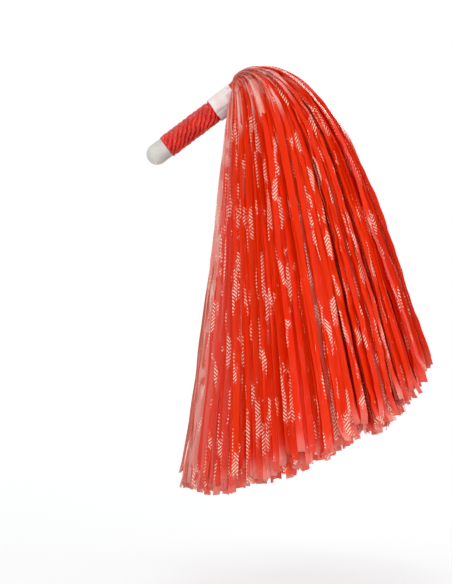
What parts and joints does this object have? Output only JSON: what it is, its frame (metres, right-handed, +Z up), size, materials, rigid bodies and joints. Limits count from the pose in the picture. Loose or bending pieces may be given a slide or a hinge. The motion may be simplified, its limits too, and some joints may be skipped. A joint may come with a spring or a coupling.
{
  "type": "cheer pom pom",
  "caption": "Hand-held cheer pom pom: a short film-wound stick with a domed end cap, and a taped head from which red film streamers arch over and hang as a skirt.",
  "frame": {"origin": "middle of the grip, on the handle's axis", "axes": "+Z up, against gravity, with the streamers hanging down; the handle lies in the XZ plane and rises 37 degrees from its end cap towards +X, where the head is; +Y completes a right-handed frame"},
  "size_m": [0.2585, 0.268, 0.3803],
  "materials": {
    "streamer_film": "glossy embossed film",
    "grip_film": "glossy crinkled film",
    "tape": "matt adhesive tape",
    "tube_plastic": "satin",
    "cap_plastic": "satin"
  },
  "bodies": {
    "handle": {"handle_tube": "tube_plastic", "end_cap": "cap_plastic", "head_plug": "tube_plastic", "grip_film_wrap": "grip_film", "inner_header": "streamer_film", "outer_header": "streamer_film", "tape_band": "tape", "tape_strip": "tape", "inner_crown": "streamer_film", "outer_crown": "streamer_film"},
    "inner_tuft_01": {"inner_tuft_01": "streamer_film"},
    "inner_tuft_02": {"inner_tuft_02": "streamer_film"},
    "inner_tuft_03": {"inner_tuft_03": "streamer_film"},
    "inner_tuft_04": {"inner_tuft_04": "streamer_film"},
    "inner_tuft_05": {"inner_tuft_05": "streamer_film"},
    "inner_tuft_06": {"inner_tuft_06": "streamer_film"},
    "inner_tuft_07": {"inner_tuft_07": "streamer_film"},
    "inner_tuft_08": {"inner_tuft_08": "streamer_film"},
    "inner_tuft_09": {"inner_tuft_09": "streamer_film"},
    "inner_tuft_10": {"inner_tuft_10": "streamer_film"},
    "inner_tuft_11": {"inner_tuft_11": "streamer_film"},
    "inner_tuft_12": {"inner_tuft_12": "streamer_film"},
    "outer_tuft_01": {"outer_tuft_01": "streamer_film"},
    "outer_tuft_02": {"outer_tuft_02": "streamer_film"},
    "outer_tuft_03": {"outer_tuft_03": "streamer_film"},
    "outer_tuft_04": {"outer_tuft_04": "streamer_film"},
    "outer_tuft_05": {"outer_tuft_05": "streamer_film"},
    "outer_tuft_06": {"outer_tuft_06": "streamer_film"},
    "outer_tuft_07": {"outer_tuft_07": "streamer_film"},
    "outer_tuft_08": {"outer_tuft_08": "streamer_film"},
    "outer_tuft_09": {"outer_tuft_09": "streamer_film"},
    "outer_tuft_10": {"outer_tuft_10": "streamer_film"},
    "outer_tuft_11": {"outer_tuft_11": "streamer_film"},
    "outer_tuft_12": {"outer_tuft_12": "streamer_film"}
  },
  "joints": [
    {"name": "outer_sway_01", "type": "hinge", "parent": "handle", "child": "outer_tuft_01", "pos_m": [0.03046, -0.02799, 0.03633], "axis": [-0.7692, 0.639, 0], "range_deg": [0, 60]},
    {"name": "outer_sway_02", "type": "hinge", "parent": "handle", "child": "outer_tuft_02", "pos_m": [0.03648, -0.03763, 0.03856], "axis": [-0.965, 0.2622, 0], "range_deg": [0, 60]},
    {"name": "outer_sway_03", "type": "hinge", "parent": "handle", "child": "outer_tuft_03", "pos_m": [0.04931, -0.04448, 0.04099], "axis": [-0.9891, -0.1475, 0], "range_deg": [0, 60]},
    {"name": "outer_sway_04", "type": "hinge", "parent": "handle", "child": "outer_tuft_04", "pos_m": [0.06758, -0.04369, 0.04339], "axis": [-0.8213, -0.5705, 0], "range_deg": [0, 60]},
    {"name": "outer_sway_05", "type": "hinge", "parent": "handle", "child": "outer_tuft_05", "pos_m": [0.08478, -0.03206, 0.04525], "axis": [-0.5422, -0.8403, 0], "range_deg": [0, 60]},
    {"name": "outer_sway_06", "type": "hinge", "parent": "handle", "child": "outer_tuft_06", "pos_m": [0.09508, -0.01175, 0.04598], "axis": [-0.1894, -0.9819, 0], "range_deg": [0, 60]},
    {"name": "outer_sway_07", "type": "hinge", "parent": "handle", "child": "outer_tuft_07", "pos_m": [0.09508, 0.01175, 0.04598], "axis": [0.1894, -0.9819, 0], "range_deg": [0, 60]},
    {"name": "outer_sway_08", "type": "hinge", "parent": "handle", "child": "outer_tuft_08", "pos_m": [0.08478, 0.03206, 0.04525], "axis": [0.5422, -0.8403, 0], "range_deg": [0, 60]},
    {"name": "outer_sway_09", "type": "hinge", "parent": "handle", "child": "outer_tuft_09", "pos_m": [0.06758, 0.04369, 0.04339], "axis": [0.8213, -0.5705, 0], "range_deg": [0, 60]},
    {"name": "outer_sway_10", "type": "hinge", "parent": "handle", "child": "outer_tuft_10", "pos_m": [0.04931, 0.04448, 0.04099], "axis": [0.9891, -0.1475, 0], "range_deg": [0, 60]},
    {"name": "outer_sway_11", "type": "hinge", "parent": "handle", "child": "outer_tuft_11", "pos_m": [0.03648, 0.03763, 0.03856], "axis": [0.965, 0.2622, 0], "range_deg": [0, 60]},
    {"name": "outer_sway_12", "type": "hinge", "parent": "handle", "child": "outer_tuft_12", "pos_m": [0.03046, 0.02799, 0.03633], "axis": [0.7692, 0.639, 0], "range_deg": [0, 60]},
    {"name": "inner_sway_01", "type": "hinge", "parent": "handle", "child": "inner_tuft_01", "pos_m": [0.03424, -0.02496, 0.02887], "axis": [-0.7692, 0.639, 0], "range_deg": [0, 30]},
    {"name": "inner_sway_02", "type": "hinge", "parent": "handle", "child": "inner_tuft_02", "pos_m": [0.04056, -0.03247, 0.0272], "axis": [-0.965, 0.2622, 0], "range_deg": [0, 30]},
    {"name": "inner_sway_03", "type": "hinge", "parent": "handle", "child": "inner_tuft_03", "pos_m": [0.0521, -0.03752, 0.025], "axis": [-0.9891, -0.1475, 0], "range_deg": [0, 30]},
    {"name": "inner_sway_04", "type": "hinge", "parent": "handle", "child": "inner_tuft_04", "pos_m": [0.06774, -0.03634, 0.02269], "axis": [-0.8213, -0.5705, 0], "range_deg": [0, 30]},
    {"name": "inner_sway_05", "type": "hinge", "parent": "handle", "child": "inner_tuft_05", "pos_m": [0.08208, -0.02644, 0.02073], "axis": [-0.5422, -0.8403, 0], "range_deg": [0, 30]},
    {"name": "inner_sway_06", "type": "hinge", "parent": "handle", "child": "inner_tuft_06", "pos_m": [0.09057, -0.00965, 0.01947], "axis": [-0.1894, -0.9819, 0], "range_deg": [0, 30]},
    {"name": "inner_sway_07", "type": "hinge", "parent": "handle", "child": "inner_tuft_07", "pos_m": [0.09057, 0.00965, 0.01947], "axis": [0.1894, -0.9819, 0], "range_deg": [0, 30]},
    {"name": "inner_sway_08", "type": "hinge", "parent": "handle", "child": "inner_tuft_08", "pos_m": [0.08208, 0.02644, 0.02073], "axis": [0.5422, -0.8403, 0], "range_deg": [0, 30]},
    {"name": "inner_sway_09", "type": "hinge", "parent": "handle", "child": "inner_tuft_09", "pos_m": [0.06774, 0.03634, 0.02269], "axis": [0.8213, -0.5705, 0], "range_deg": [0, 30]},
    {"name": "inner_sway_10", "type": "hinge", "parent": "handle", "child": "inner_tuft_10", "pos_m": [0.0521, 0.03752, 0.025], "axis": [0.9891, -0.1475, 0], "range_deg": [0, 30]},
    {"name": "inner_sway_11", "type": "hinge", "parent": "handle", "child": "inner_tuft_11", "pos_m": [0.04056, 0.03247, 0.0272], "axis": [0.965, 0.2622, 0], "range_deg": [0, 30]},
    {"name": "inner_sway_12", "type": "hinge", "parent": "handle", "child": "inner_tuft_12", "pos_m": [0.03424, 0.02496, 0.02887], "axis": [0.7692, 0.639, 0], "range_deg": [0, 30]}
  ],
  "couplings": [
    {"joint": "inner_sway_01", "follows": "outer_sway_01", "ratio": 0.5},
    {"joint": "inner_sway_02", "follows": "outer_sway_02", "ratio": 0.5},
    {"joint": "inner_sway_03", "follows": "outer_sway_03", "ratio": 0.5},
    {"joint": "inner_sway_04", "follows": "outer_sway_04", "ratio": 0.5},
    {"joint": "inner_sway_05", "follows": "outer_sway_05", "ratio": 0.5},
    {"joint": "inner_sway_06", "follows": "outer_sway_06", "ratio": 0.5},
    {"joint": "inner_sway_07", "follows": "outer_sway_07", "ratio": 0.5},
    {"joint": "inner_sway_08", "follows": "outer_sway_08", "ratio": 0.5},
    {"joint": "inner_sway_09", "follows": "outer_sway_09", "ratio": 0.5},
    {"joint": "inner_sway_10", "follows": "outer_sway_10", "ratio": 0.5},
    {"joint": "inner_sway_11", "follows": "outer_sway_11", "ratio": 0.5},
    {"joint": "inner_sway_12", "follows": "outer_sway_12", "ratio": 0.5}
  ]
}
